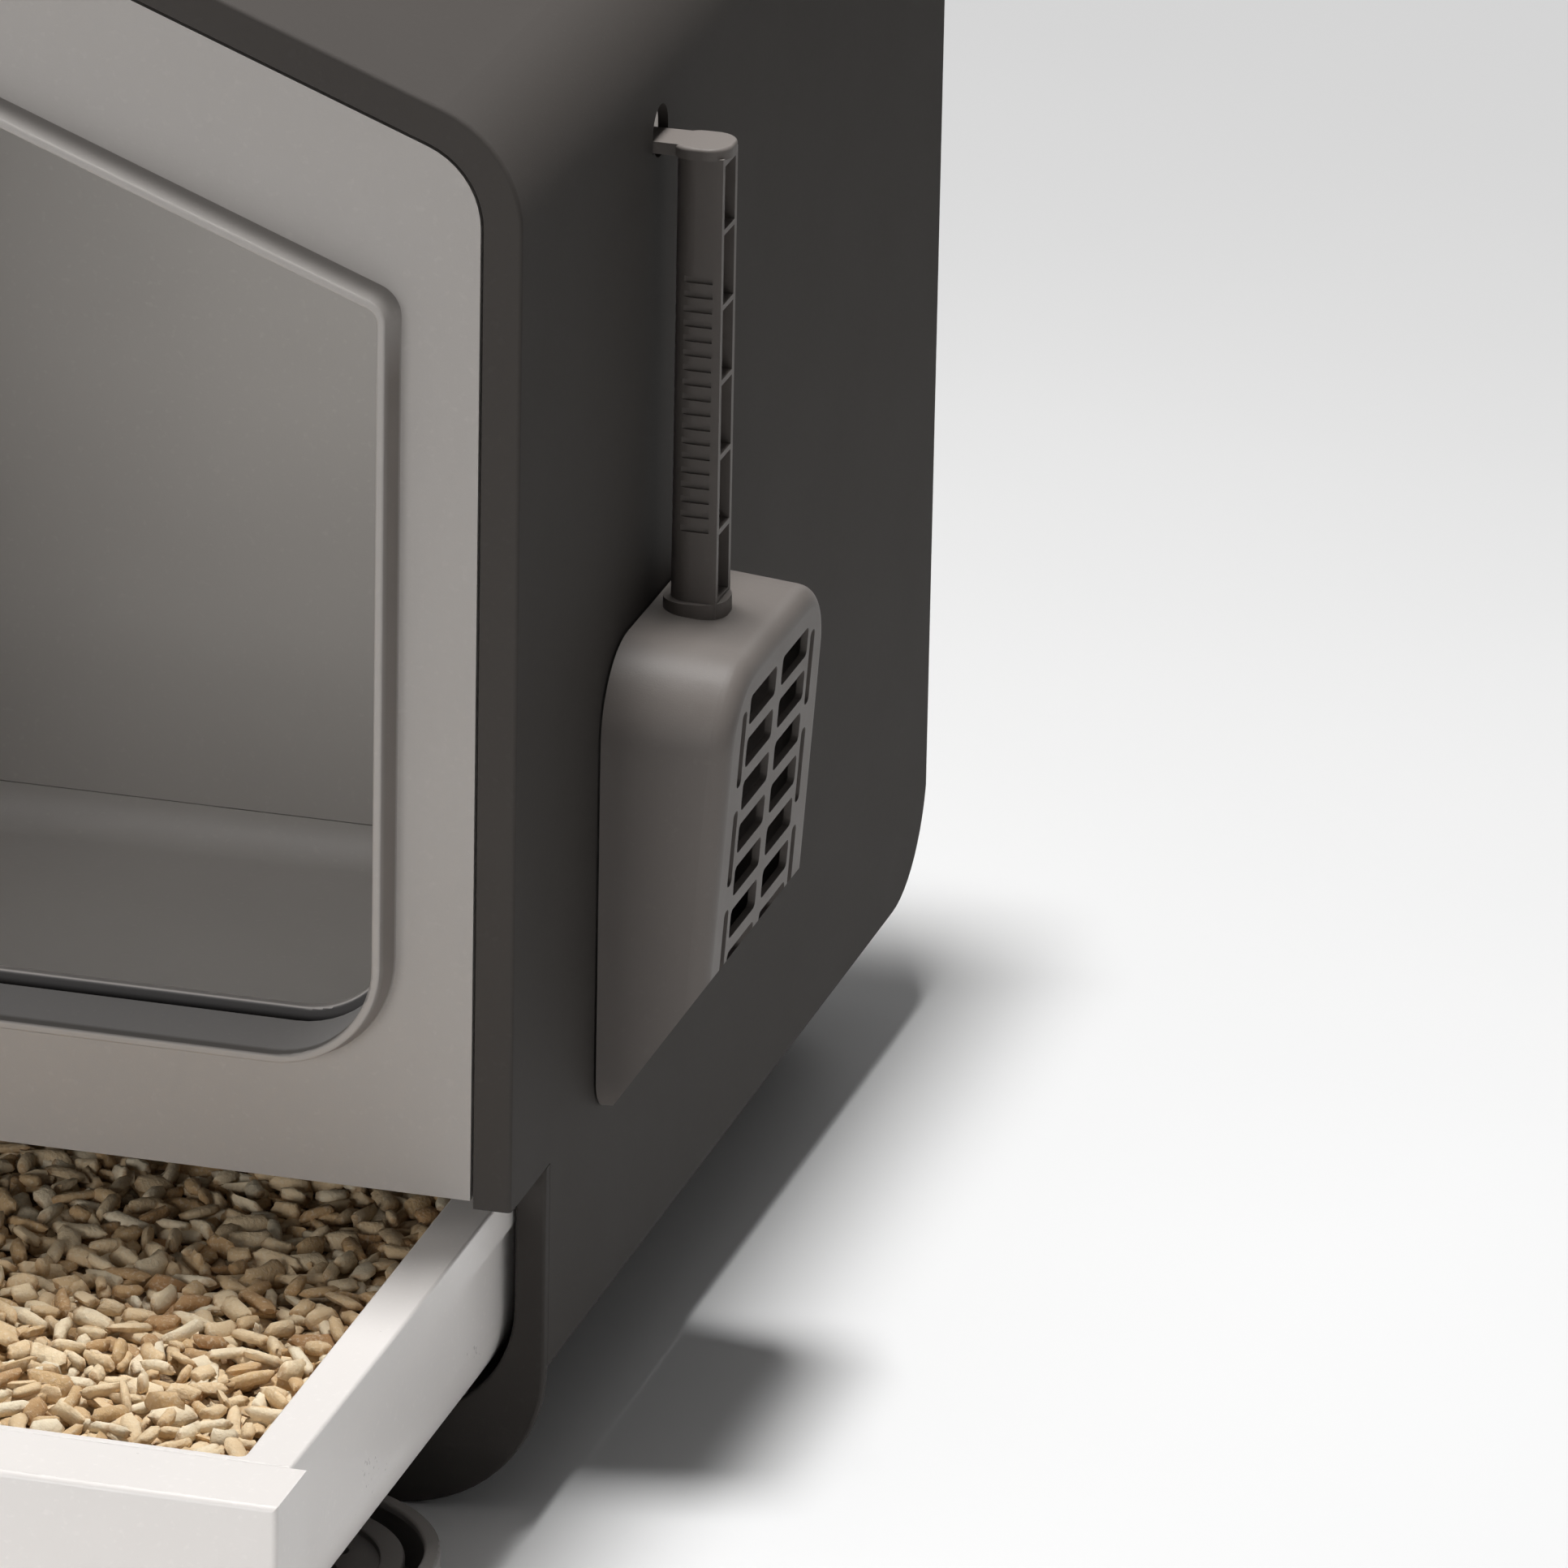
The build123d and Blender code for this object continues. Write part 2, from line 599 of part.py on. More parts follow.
def lattice():
    """Sifting holes: two columns of slots and a row of narrow border slots at each side."""
    middle = front + scoop_y
    hole = RectangleRounded(lattice_hole_width, lattice_hole_height, lattice_corner)
    border = RectangleRounded(lattice_slot_width, lattice_slot_length, lattice_corner)
    column = (lattice_hole_width + lattice_rib) / 2
    edge = lattice_hole_width + lattice_rib + lattice_slot_width / 2
    start = half + bowl_depth / 2
    end = half + bowl_depth + 5
    cutters = []
    for row in range(lattice_rows + 1):
        for side in (-1, 1):
            place = Pos(middle + side * column, lattice_first - row * lattice_pitch)
            cutters.append(along_x(place * hole, start, end))
    for row in range(3):
        for side in (-1, 1):
            height = lattice_first - lattice_slot_drop - row * lattice_slot_pitch
            cutters.append(along_x(Pos(middle + side * edge, height) * border, start, end))
    return cutters


def handle():
    """C-section handle, open to the outside, with cross ribs and moulded grip rings."""
    near = half + handle_gap
    middle = front + scoop_y
    low = bowl_top - 8
    section = Pos(near + handle_size / 2, middle) * Rectangle(handle_size, handle_size)
    stick = along_z(section, low, handle_top + 0.5)
    stick = fillet(stick.edges().filter_by(Axis.Z).sort_by(Axis.X)[:2], handle_corner)
    for index in range(grip_count):
        height = grip_top - index * grip_pitch
        ring = Pos(near + handle_size / 2, middle) * Rectangle(handle_size + 2, handle_size + 2)
        ring -= Pos(near + handle_size / 2, middle) * Rectangle(handle_size - 2 * grip_depth,
                                                                handle_size - 2 * grip_depth)
        keep_lip = box(near - 5, near + handle_size - 2.5, middle - 20, middle + 20, height - 5, height + 5)
        stick -= along_z(ring, height - (grip_pitch - grip_width) / 2, height + (grip_pitch - grip_width) / 2) & keep_lip
    inner = box(near + handle_wall, near + handle_size + 1, middle - handle_size / 2 + handle_wall,
                middle + handle_size / 2 - handle_wall, bowl_top + 4, handle_top - 2)
    rib_z = handle_top - rib_pitch
    while rib_z > bowl_top + 10:
        inner -= box(near, near + handle_size, middle - handle_size, middle + handle_size,
                     rib_z, rib_z + rib_thickness)
        rib_z -= rib_pitch
    return stick - inner


def scoop():
    bowl = bowl_solid(0) - bowl_solid(bowl_wall)
    for cutter in lattice():
        bowl -= cutter
    near = half + handle_gap
    middle = front + scoop_y
    stick = handle()
    collar_section = Pos(near + handle_size / 2, middle) * RectangleRounded(
        handle_size + 4, handle_size + 4, handle_corner + 1)
    collar = along_z(collar_section, bowl_top - 3, bowl_top + 3)
    # flat cap with a tab that passes through the wall and drops behind it
    cap_section = Pos(near + handle_size / 2, middle) * RectangleRounded(
        handle_size + 2 * cap_margin, handle_size + 2 * cap_margin, handle_corner)
    cap = along_z(cap_section, handle_top, handle_top + cap_thickness)
    cap = fillet(cap.faces().sort_by(Axis.Z)[-1].edges(), cap_rounding)
    hook_in = half - hood_wall - hook_gap - hook_thickness
    tab = box(hook_in, near + 3, middle - tab_width / 2, middle + tab_width / 2, handle_top,
              handle_top + cap_thickness)
    hook = box(hook_in, hook_in + hook_thickness, middle - tab_width / 2, middle + tab_width / 2,
               handle_top - hook_drop - seat_gap, handle_top + 1)
    return bowl + (stick - bowl_solid(bowl_wall)) + (collar - bowl_solid(bowl_wall)) + cap + tab + hook


# ---- step --------------------------------------------------------------------------------
def step_plan(inset):
    near = front + step_back - step_depth + inset
    far = front + step_back - inset
    side = step_half_width - inset
    radius = max(step_radius - inset, 2)
    points = [(-side, near), (side, near), (side, far), (-side, far)]
    return rounded(points, [radius] * 4)


def step_tray():
    """Shallow tray in front of the body, held by two tongues through the front frame."""
    tray = along_z(step_plan(0), 0, step_height)
    tray -= along_z(step_plan(step_wall), step_floor, step_height + 1)
    lip = step_plan(0) - step_plan(step_wall + step_lip)
    tray += along_z(lip, step_height - step_lip, step_height)
    tray = fillet(tray.faces().sort_by(Axis.Z)[-1].edges(), step_edge)
    for side in (-1, 1):
        centre = side * tongue_half_spacing
        tray += box(centre - tongue_width / 2, centre + tongue_width / 2, front + step_back - 1,
                    frame_y + frame_thickness + tongue_reach, tongue_z, tongue_z + tongue_thickness)
    return tray


def step_deck():
    """Lift-out grate: a skirt, a raised border and rows of slots."""
    skirt = step_plan(deck_inset) - step_plan(deck_inset + deck_thickness)
    deck = along_z(skirt, step_floor + seat_gap, deck_top)
    deck += along_z(step_plan(deck_inset), deck_top - deck_recess - deck_thickness, deck_top)
    deck -= along_z(step_plan(deck_inset + deck_border), deck_top - deck_recess, deck_top + 1)
    slot = SlotOverall(deck_slot_length, deck_slot_width)
    middle = front + step_back - step_depth / 2
    for row in range(deck_rows):
        for column in range(deck_columns):
            x = (column - (deck_columns - 1) / 2) * deck_column_pitch
            y = middle + (row - (deck_rows - 1) / 2) * deck_slot_pitch
            deck -= along_z(Pos(x, y) * slot, deck_top - 2 * deck_thickness - deck_recess, deck_top + 1)
    return fillet(deck.faces().sort_by(Axis.Z)[-1].edges(), deck_rounding)


def main():
    os.makedirs("parts", exist_ok=True)
    save("hood_shell", hood_shell())
    save("front_panel", front_panel())
    save("entrance_frame", entrance_frame())
    save("rear_panel", rear_panel())
    save("base_tub", base_tub())
    save("floor_liner", floor_liner())
    foot_names = ["foot_front_left", "foot_front_right", "foot_rear_left", "foot_rear_right"]
    for name, place in zip(foot_names, foot_places()):
        save(name, rubber_foot(place))
    save("drawer_front", drawer_front())
    save("drawer_tray", drawer_tray())
    save("drawer_rim", drawer_rim())
    save("drawer_screws", drawer_screws())
    save("litter_bed", litter_bed())
    save("scoop", scoop())
    save("step_tray", step_tray())
    save("step_deck", step_deck())


main()
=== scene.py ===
import math
import random

import bpy
from mathutils import Matrix, Vector


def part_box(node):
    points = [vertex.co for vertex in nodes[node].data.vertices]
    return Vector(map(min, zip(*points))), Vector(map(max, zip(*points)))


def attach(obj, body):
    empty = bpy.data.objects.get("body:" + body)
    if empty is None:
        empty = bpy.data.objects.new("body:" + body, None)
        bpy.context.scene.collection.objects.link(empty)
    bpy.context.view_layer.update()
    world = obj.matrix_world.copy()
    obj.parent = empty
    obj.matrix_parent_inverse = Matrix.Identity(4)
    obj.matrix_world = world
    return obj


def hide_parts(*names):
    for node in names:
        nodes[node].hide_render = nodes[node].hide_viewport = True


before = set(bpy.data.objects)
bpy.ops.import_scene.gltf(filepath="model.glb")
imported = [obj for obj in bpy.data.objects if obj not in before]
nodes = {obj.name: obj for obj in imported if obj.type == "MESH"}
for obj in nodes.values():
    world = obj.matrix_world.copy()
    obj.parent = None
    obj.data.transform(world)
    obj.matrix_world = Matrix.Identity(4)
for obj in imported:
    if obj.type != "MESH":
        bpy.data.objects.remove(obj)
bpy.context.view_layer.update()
hoodFront = Vector((0.0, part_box("hood_shell")[0].y, 0.0))    # the camera and the lamps are placed from it
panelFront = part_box("front_panel")[0].y - nodes["front_panel"].matrix_world.translation.y
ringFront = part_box("entrance_frame")[0].y - nodes["entrance_frame"].matrix_world.translation.y
bedLow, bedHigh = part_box("litter_bed")
print("frame loaded:", len(nodes), "nodes")

# the photograph's view: a long lens from the front right, looking down
view = {
    "azimuth": 15.468,                        # degrees
    "elevation": 21.161,
    "roll": 1.133,
    "lens": 317.82,                           # millimetres
    "place": (1.22543, -3.42693, 1.62449),    # metres from the hood's front
    "reach": 12.0,
}


def addCamera():
    turn, tip, roll = (math.radians(view[key]) for key in ("azimuth", "elevation", "roll"))
    ahead = Vector((-math.sin(turn) * math.cos(tip), math.cos(turn) * math.cos(tip), -math.sin(tip)))
    right = Vector((math.cos(turn), math.sin(turn), 0.0))
    up = right.cross(ahead)
    tiltedRight = right * math.cos(roll) + up * math.sin(roll)
    tiltedUp = up * math.cos(roll) - right * math.sin(roll)
    turned = Matrix((tiltedRight, tiltedUp, -ahead)).transposed().to_4x4()
    camera = bpy.data.objects.new("camera", bpy.data.cameras.new("camera"))
    camera.data.lens = view["lens"]
    camera.data.clip_end = view["reach"]
    camera.matrix_world = Matrix.Translation(Vector(view["place"]) + hoodFront) @ turned
    bpy.context.scene.collection.objects.link(camera)
    bpy.context.scene.camera = camera


addCamera()
print("camera placed")


# a wire is an output socket that adds and multiplies, so that node maths reads as sums
class Wire:
    def __init__(self, owner, socket):
        self.owner, self.socket = owner, socket

    def maths(self, operation, *others):
        return self.owner.add("ShaderNodeMath", {"operation": operation}, dict(enumerate((self, *others))))

    def __add__(self, other):
        return self.maths("ADD", other)

    def __mul__(self, other):
        return self.maths("MULTIPLY", other)

    def __sub__(self, other):
        return self.maths("SUBTRACT", other)

    def __rsub__(self, other):                # other - self
        return self.maths("MULTIPLY_ADD", -1.0, other)

    __radd__ = __add__
    __rmul__ = __mul__


class NodeTree:
    def __init__(self, tree):
        self.tree = tree
        self.tree.nodes.clear()

    def add(self, kind, settings, sockets, output=0):
        made = self.tree.nodes.new(kind)
        for key, value in settings.items():
            if key == "stops":                # a ramp's stops: position and colour
                ramp = made.color_ramp
                while len(ramp.elements) < len(value):
                    ramp.elements.new(1.0)
                for element, (place, colour) in zip(ramp.elements, value):
                    element.position = place
                    element.color = rgb(*colour)
            else:
                setattr(made, key, value)
        for key, value in sockets.items():
            wires = value if isinstance(value, list) else [value]    # a list joins several at one socket
            if isinstance(wires[0], Wire):
                for wire in wires:
                    self.tree.links.new(wire.socket, made.inputs[key])
            else:
                made.inputs[key].default_value = value
        return None if output is None else Wire(self, made.outputs[output])

    def span(self, value, low, high, start, end):
        return self.add("ShaderNodeMapRange", {}, {"Value": value, "From Min": low, "From Max": high,
                                                   "To Min": start, "To Max": end})


class Finish(NodeTree):
    def __init__(self, name):
        self.material = bpy.data.materials.new(name)
        self.material.use_nodes = True
        super().__init__(self.material.node_tree)

    def place(self):
        return self.add("ShaderNodeTexCoord", {}, {}, "Object")

    def axes(self):                           # across, depth and height of a point on the piece
        split = self.add("ShaderNodeSeparateXYZ", {}, {0: self.place()}).socket.node
        return [Wire(self, axis) for axis in split.outputs]

    def attribute(self, name):
        return self.add("ShaderNodeAttribute", {"attribute_name": name}, {}, "Fac")

    def noise(self, scale, detail, roughness=0.5):
        return self.add("ShaderNodeTexNoise", {}, {"Vector": self.place(), "Scale": scale, "Detail": detail,
                                                   "Roughness": roughness})

    def blend(self, factor, first, second, mode="MIX"):
        return self.add("ShaderNodeMix", {"data_type": "RGBA", "blend_type": mode},
                        {0: factor, 6: first, 7: second}, 2)

    def bump(self, height, strength, distance, **under):
        return self.add("ShaderNodeBump", {}, {"Height": height, "Strength": strength, "Distance": distance,
                                               **under})

    def close(self, **sockets):
        named = {key.replace("_", " "): value for key, value in sockets.items()}
        shader = self.add("ShaderNodeBsdfPrincipled", {}, named)
        self.add("ShaderNodeOutputMaterial", {}, {"Surface": shader}, None)
        return self.material


def rgb(red, green, blue):
    return (red, green, blue, 1.0)


def grey(value):
    return rgb(value, value, value)


# moulded plastics: a spark-eroded grain, faint clouding, a few rubbed places
plastics = {
    "darkShell": {"colour": (0.0620, 0.0560, 0.0515), "shade": 0.96, "rough": 0.68, "spread": 0.04,
                  "grain": 2600.0, "depth": 0.00006, "specular": 0.07},
    "lightPanel": {"colour": (0.395, 0.370, 0.350), "shade": 0.97, "rough": 0.48, "spread": 0.06,
                   "grain": 2400.0, "depth": 0.00005, "specular": 0.36},
    "cabinLiner": {"colour": (0.395, 0.370, 0.345), "shade": 0.93, "rough": 0.52, "spread": 0.08,
                   "grain": 2000.0, "depth": 0.00005, "specular": 0.38},
    "drawerWhite": {"colour": (0.840, 0.800, 0.768), "shade": 0.97, "rough": 0.30, "spread": 0.07,
                    "grain": 900.0, "depth": 0.00003, "specular": 0.50},
    "scoopGrey": {"colour": (0.158, 0.140, 0.128), "shade": 0.95, "rough": 0.54, "spread": 0.08,
                  "grain": 2200.0, "depth": 0.00005, "specular": 0.30},
    "stepDark": {"colour": (0.200, 0.184, 0.172), "shade": 0.88, "rough": 0.50, "spread": 0.10,
                 "grain": 2400.0, "depth": 0.00006, "specular": 0.42},
    "rubberBlack": {"colour": (0.022, 0.021, 0.021), "shade": 0.85, "rough": 0.72, "spread": 0.12,
                    "grain": 1500.0, "depth": 0.00010, "specular": 0.30},
}

# what every plastic shares; a noise is its scale, detail and roughness
moulding = {
    "cloud": (7.0, 3.0),
    "cloudBand": (0.35, 0.65, 0.0, 1.0),      # noise from and to, strength at each
    "speck": (420.0, 2.0),
    "dustBand": (0.60, 0.78, 0.0, 0.45),
    "dustScale": 1.10,
    "dustLift": 0.004,
    "rub": (23.0, 4.0, 0.6),
    "speckSpread": 0.06,
    "grainDetail": 1.0,
    "grainStrength": 0.5,
    "wave": (30.0, 1.0),                      # the slight waviness of a moulded wall
    "waveStrength": 0.35,
    "waveDepth": 0.00025,
}

# lamps alone give the doorway too little contrast: its floor is made lighter and its collar's flank darker
tunnel = {
    "halfWidth": 0.1612,
    "foot": 0.1522,                           # height of the sill's floor
    "corner": 0.0300,                         # radius between the floor and the sides
    "wall": (0.0004, 0.0016),                 # outside the opening: the floor's tone ends
    "start": (0.0030, 0.0050),                # behind the panel's front: it begins
    "fade": (0.0080, 0.0400),                 # above the floor: it fades
    "floorTone": (2.00, 2.07, 2.15),
    "collar": (0.0022, 0.0030),               # outside the opening: the flank's tone begins
    "face": (0.0078, 0.0086),                 # behind the panel's front: it ends at the panel's face
    "eave": (0.3549, 0.3709),                 # height: it fades
    "flankTone": (0.62, 0.59, 0.57),
}

# the ring behind the doorway: painted shade on its face, then a painted highlight on its edge past its
# locating lip
ring = {
    "edge": (0.00805, 0.00835),               # behind its front
    # painted shade on the face, then a painted highlight on the edge
    "paintedShadeTone": (0.20, 0.20, 0.21),
    "paintedHighlightTone": (2.20, 2.20, 2.25),
}


def band(origin, edges):
    return [origin + edge for edge in edges]


def tunnelTone(finish, across, depth, height):
    corner, foot = tunnel["corner"], tunnel["foot"]
    out = (across.maths("ABSOLUTE") - (tunnel["halfWidth"] - corner)).maths("MAXIMUM", 0.0)
    down = (foot + corner - height).maths("MAXIMUM", 0.0)
    away = (out * out + down * down).maths("SQRT")
    inside = finish.span(away, *band(corner, tunnel["wall"]), 1.0, 0.0)
    behind = finish.span(depth, *band(panelFront, tunnel["start"]), 0.0, 1.0)
    low = finish.span(height, *band(foot, tunnel["fade"]), 1.0, 0.0)
    floored = finish.blend(inside * behind * low, grey(1.0), rgb(*tunnel["floorTone"]))
    outside = finish.span(away, *band(corner, tunnel["collar"]), 0.0, 1.0)
    raised = finish.span(depth, *band(panelFront, tunnel["face"]), 1.0, 0.0)
    below = finish.span(height, *tunnel["eave"], 1.0, 0.0)
    return finish.blend(outside * raised * below, floored, rgb(*tunnel["flankTone"]))


def ringPaintedShadeAndHighlight(finish, across, depth, height):
    # painted shade on the ring's face, a painted highlight on its edge behind it
    edge = finish.span(depth, *band(ringFront, ring["edge"]), 0.0, 1.0)
    return finish.blend(edge, rgb(*ring["paintedShadeTone"]), rgb(*ring["paintedHighlightTone"]))


def mouldedPlastic(name, tone=None):
    values = plastics[name]
    finish = Finish(name)
    base = values["colour"]
    cloud = finish.noise(*moulding["cloud"])
    speck = finish.noise(*moulding["speck"])
    darker = rgb(*(channel * values["shade"] for channel in base))
    dust = rgb(*(min(channel * moulding["dustScale"] + moulding["dustLift"], 1.0) for channel in base))
    clouded = finish.blend(finish.span(cloud, *moulding["cloudBand"]), rgb(*base), darker)
    colour = finish.blend(finish.span(speck, *moulding["dustBand"]), clouded, dust)
    if tone:
        colour = finish.blend(1.0, colour, tone(finish, *finish.axes()), "MULTIPLY")
    rubbed = (finish.noise(*moulding["rub"]) - 0.5) * values["spread"] * 2.0
    roughness = rubbed + (speck - 0.5) * moulding["speckSpread"] + values["rough"]
    wave = finish.bump(finish.noise(*moulding["wave"]), moulding["waveStrength"], moulding["waveDepth"])
    grain = finish.noise(values["grain"], moulding["grainDetail"])
    normal = finish.bump(grain, moulding["grainStrength"], values["depth"], Normal=wave)
    return finish.close(Base_Color=colour, Roughness=roughness, Normal=normal,
                        Specular_IOR_Level=values["specular"])


steel = {
    "streaks": (900.0, 3.0, 0.6),
    "dark": (0.55, 0.55, 0.53),
    "light": (0.70, 0.69, 0.66),
    "rough": 0.22,
    "spread": 0.2,
    "strength": 0.3,
    "depth": 0.00005,
}


def platedSteel():
    finish = Finish("platedSteel")
    streaks = finish.noise(*steel["streaks"])
    return finish.close(Base_Color=finish.blend(streaks, rgb(*steel["dark"]), rgb(*steel["light"])),
                        Roughness=streaks * steel["spread"] + steel["rough"], Metallic=1.0,
                        Normal=finish.bump(streaks, steel["strength"], steel["depth"]))


worn = (
    (mouldedPlastic("darkShell"), ("hood_shell", "base_tub")),
    (mouldedPlastic("lightPanel", tunnelTone), ("front_panel",)),
    # the entrance frame carries painted shade on its face and a painted highlight on its edge
    (mouldedPlastic("cabinLiner", ringPaintedShadeAndHighlight), ("entrance_frame",)),
    (mouldedPlastic("cabinLiner"), ("rear_panel", "floor_liner")),
    (mouldedPlastic("drawerWhite"), ("drawer_front", "drawer_tray", "drawer_rim")),
    (mouldedPlastic("scoopGrey"), ("scoop",)),
    (mouldedPlastic("stepDark"), ("step_tray", "step_deck")),
    (mouldedPlastic("rubberBlack"), ("foot_front_left", "foot_front_right", "foot_rear_left",
                                     "foot_rear_right")),
    (platedSteel(), ("drawer_screws",)),
)
for material, names in worn:
    for name in names:
        mesh = nodes[name].data
        mesh.materials.clear()
        mesh.materials.append(material)
print("finishes made:", len(worn))


def newObject(name, points, faces):
    mesh = bpy.data.meshes.new(name)
    mesh.from_pydata(points, [], faces)
    mesh.update()
    made = bpy.data.objects.new(name, mesh)
    bpy.context.scene.collection.objects.link(made)
    return made


# the bed: the tray's fill below the pellets, rounded along its lower edges; its dark brown is painted shade
# for the gaps among the chips, over a crumb pattern
bed = {
    "drop": 0.0088,                           # its top, below the litter's highest point
    "gap": 0.001,                             # to the sides and ends of the litter's space
    "roll": 0.028,
    "steps": 8,
    "crumbs": (520.0, 4.0, 0.7),              # scale, detail and roughness
    "crumbBand": (0.38, 0.66, 0.0, 1.0),
    # both tones are dark brown: painted shade that shows through the gaps between the chips
    "dark": (0.12, 0.065, 0.030),
    "light": (0.44, 0.30, 0.16),
    "rough": 0.7,
    "spread": 0.2,
    "strength": 1.0,
    "depth": 0.002,
}


def crumbPaintedShadeMaterial():
    # a crumb pattern in dark browns: painted shade for the gaps among the pellets
    finish = Finish("litterCrumbs")
    crumbs = finish.noise(*bed["crumbs"])
    colour = finish.blend(finish.span(crumbs, *bed["crumbBand"]), rgb(*bed["dark"]), rgb(*bed["light"]))
    return finish.close(Base_Color=colour, Roughness=crumbs * bed["spread"] + bed["rough"],
                        Normal=finish.bump(crumbs, bed["strength"], bed["depth"]))


def crumbBed():
    top, side, roll = bedHigh.z - bed["drop"], bedHigh.x - bed["gap"], bed["roll"]
    section = [(side, top)]
    for step in range(bed["steps"] + 1):
        turn = math.radians(90.0 * step / bed["steps"])
        section.append((side - roll * (1 - math.cos(turn)), bedLow.z + roll * (1 - math.sin(turn))))
    section += [(-x, z) for x, z in reversed(section)]
    count = len(section)
    points = [(x, y, z) for y in (bedLow.y + bed["gap"], bedHigh.y - bed["gap"]) for x, z in section]
    faces = [(i, (i + 1) % count, count + (i + 1) % count, count + i) for i in range(count)]
    faces += [tuple(reversed(range(count))), tuple(range(count, 2 * count))]
    made = newObject("crumbBed", points, [tuple(reversed(face)) for face in faces])
    made.data.materials.append(crumbPaintedShadeMaterial())
    return made


# one chip of pressed wood, torn at both ends
chip = {
    "shapes": 4,
    "length": 0.0125,
    "halfWidth": 0.0027,
    "halfHeight": 0.0018,
    "sides": 7,
    "rings": ((-0.5, 0.50), (-0.38, 0.92), (0.02, 1.05), (0.37, 0.95), (0.5, 0.55)),    # place, width
    "end": 0.45,                              # rings beyond it are torn
    "lean": 0.10,
    "sway": 0.25,
    "uneven": (0.84, 1.12),
    "ragged": 0.06,
    "sideWear": 0.35,
    "straw": (                                # the chips' tints, darkest first
        (0.00, (0.42, 0.24, 0.11)),
        (0.10, (0.62, 0.42, 0.22)),
        (0.35, (0.75, 0.56, 0.34)),
        (0.70, (0.81, 0.65, 0.43)),
        (1.00, (0.86, 0.75, 0.56)),
    ),
    "fibre": (800.0, 4.0, 0.65),              # scale, detail and roughness
    "fibreBand": (0.52, 0.74, 0.0, 0.5),      # noise from and to, strength at each
    "fibreColour": (0.90, 0.82, 0.67),
    "blotch": (210.0, 3.0, 0.6),
    "blotchBand": (0.56, 0.78, 0.0, 0.55),
    "blotchColour": (0.50, 0.32, 0.16),
    "tornBlotch": 1.3,
    "tornBand": (1.05, 1.75, 0.0, 0.75),
    "tornColour": (0.42, 0.25, 0.115),
    "rough": 0.62,
    "spread": 0.2,
    "bumpBlotch": 1.2,
    "strength": 0.8,
    "depth": 0.0006,
    "specular": 0.25,
}


def pelletMaterial():
    finish = Finish("pressedPellets")
    fibre = finish.noise(*chip["fibre"])
    blotch = finish.noise(*chip["blotch"])
    tint = finish.attribute("pelletTint")
    straw = finish.add("ShaderNodeValToRGB", {"stops": chip["straw"]}, {"Fac": tint})
    torn = finish.span(finish.attribute("brokenRim") + blotch * chip["tornBlotch"], *chip["tornBand"])
    edged = finish.blend(torn, straw, rgb(*chip["tornColour"]))
    stained = finish.blend(finish.span(blotch, *chip["blotchBand"]), edged, rgb(*chip["blotchColour"]))
    colour = finish.blend(finish.span(fibre, *chip["fibreBand"]), stained, rgb(*chip["fibreColour"]))
    normal = finish.bump(fibre + blotch * chip["bumpBlotch"], chip["strength"], chip["depth"])
    return finish.close(Base_Color=colour, Roughness=fibre * chip["spread"] + chip["rough"], Normal=normal,
                        Specular_IOR_Level=chip["specular"])


def pelletShape(number):
    draw = random.Random(number)
    sides, rings, halfWidth = chip["sides"], chip["rings"], chip["halfWidth"]
    points, faces, rim = [], [], []
    lean = draw.uniform(-chip["lean"], chip["lean"])
    for along, wide in rings:
        end = abs(along) > chip["end"]
        sway = draw.uniform(-chip["sway"], chip["sway"]) * halfWidth
        for side in range(sides):
            turn = 2 * math.pi * side / sides
            uneven = wide * draw.uniform(*chip["uneven"])
            ragged = draw.uniform(-chip["ragged"], chip["ragged"]) if end else 0.0
            slip = along + lean * math.cos(turn) + ragged
            points.append((slip * chip["length"], sway + uneven * halfWidth * math.cos(turn),
                           uneven * chip["halfHeight"] * math.sin(turn)))
            rim.append(1.0 if end else chip["sideWear"] * abs(math.cos(turn)))
    for ringNumber in range(len(rings) - 1):
        this, following = ringNumber * sides, (ringNumber + 1) * sides
        for side in range(sides):
            after = (side + 1) % sides
            faces.append((this + side, following + side, following + after, this + after))
    last = (len(rings) - 1) * sides
    faces += [tuple(range(sides)), tuple(reversed(range(last, last + sides)))]
    made = newObject(f"pelletShape{number}", points, faces)
    made.data.attributes.new("brokenRim", "FLOAT", "POINT").data.foreach_set("value", rim)
    return made


# the pellets: three layers of chips, each scattered over a gently rippled sheet
heap = {
    "layers": (                               # drop below the highest point, gap between chips, seed, tilt
        (0.0086, 0.0062, 1, 0.20),
        (0.0060, 0.0062, 2, 0.24),
        (0.0036, 0.0076, 3, 0.20),
    ),
    "density": 60000.0,                       # most chips on a square metre
    "smallest": (0.50, 0.70, 0.75),           # a chip's length, width and height, as shares
    "largest": (1.20, 1.30, 1.15),
    "sizeSeed": 11,
    "tintSeed": 23,
    "margin": 0.0058,                         # the sheet stays this far inside the litter's space
    "columns": 28,
    "rows": 24,
    "ripple": 0.0012,
    "swell": ((31, 1.3), (27, 0.4)),          # radians per metre and phase, across and along
    "chop": (0.6, 43, 67),                    # share, radians per metre across and along
    "crease": 75,                             # degrees
}


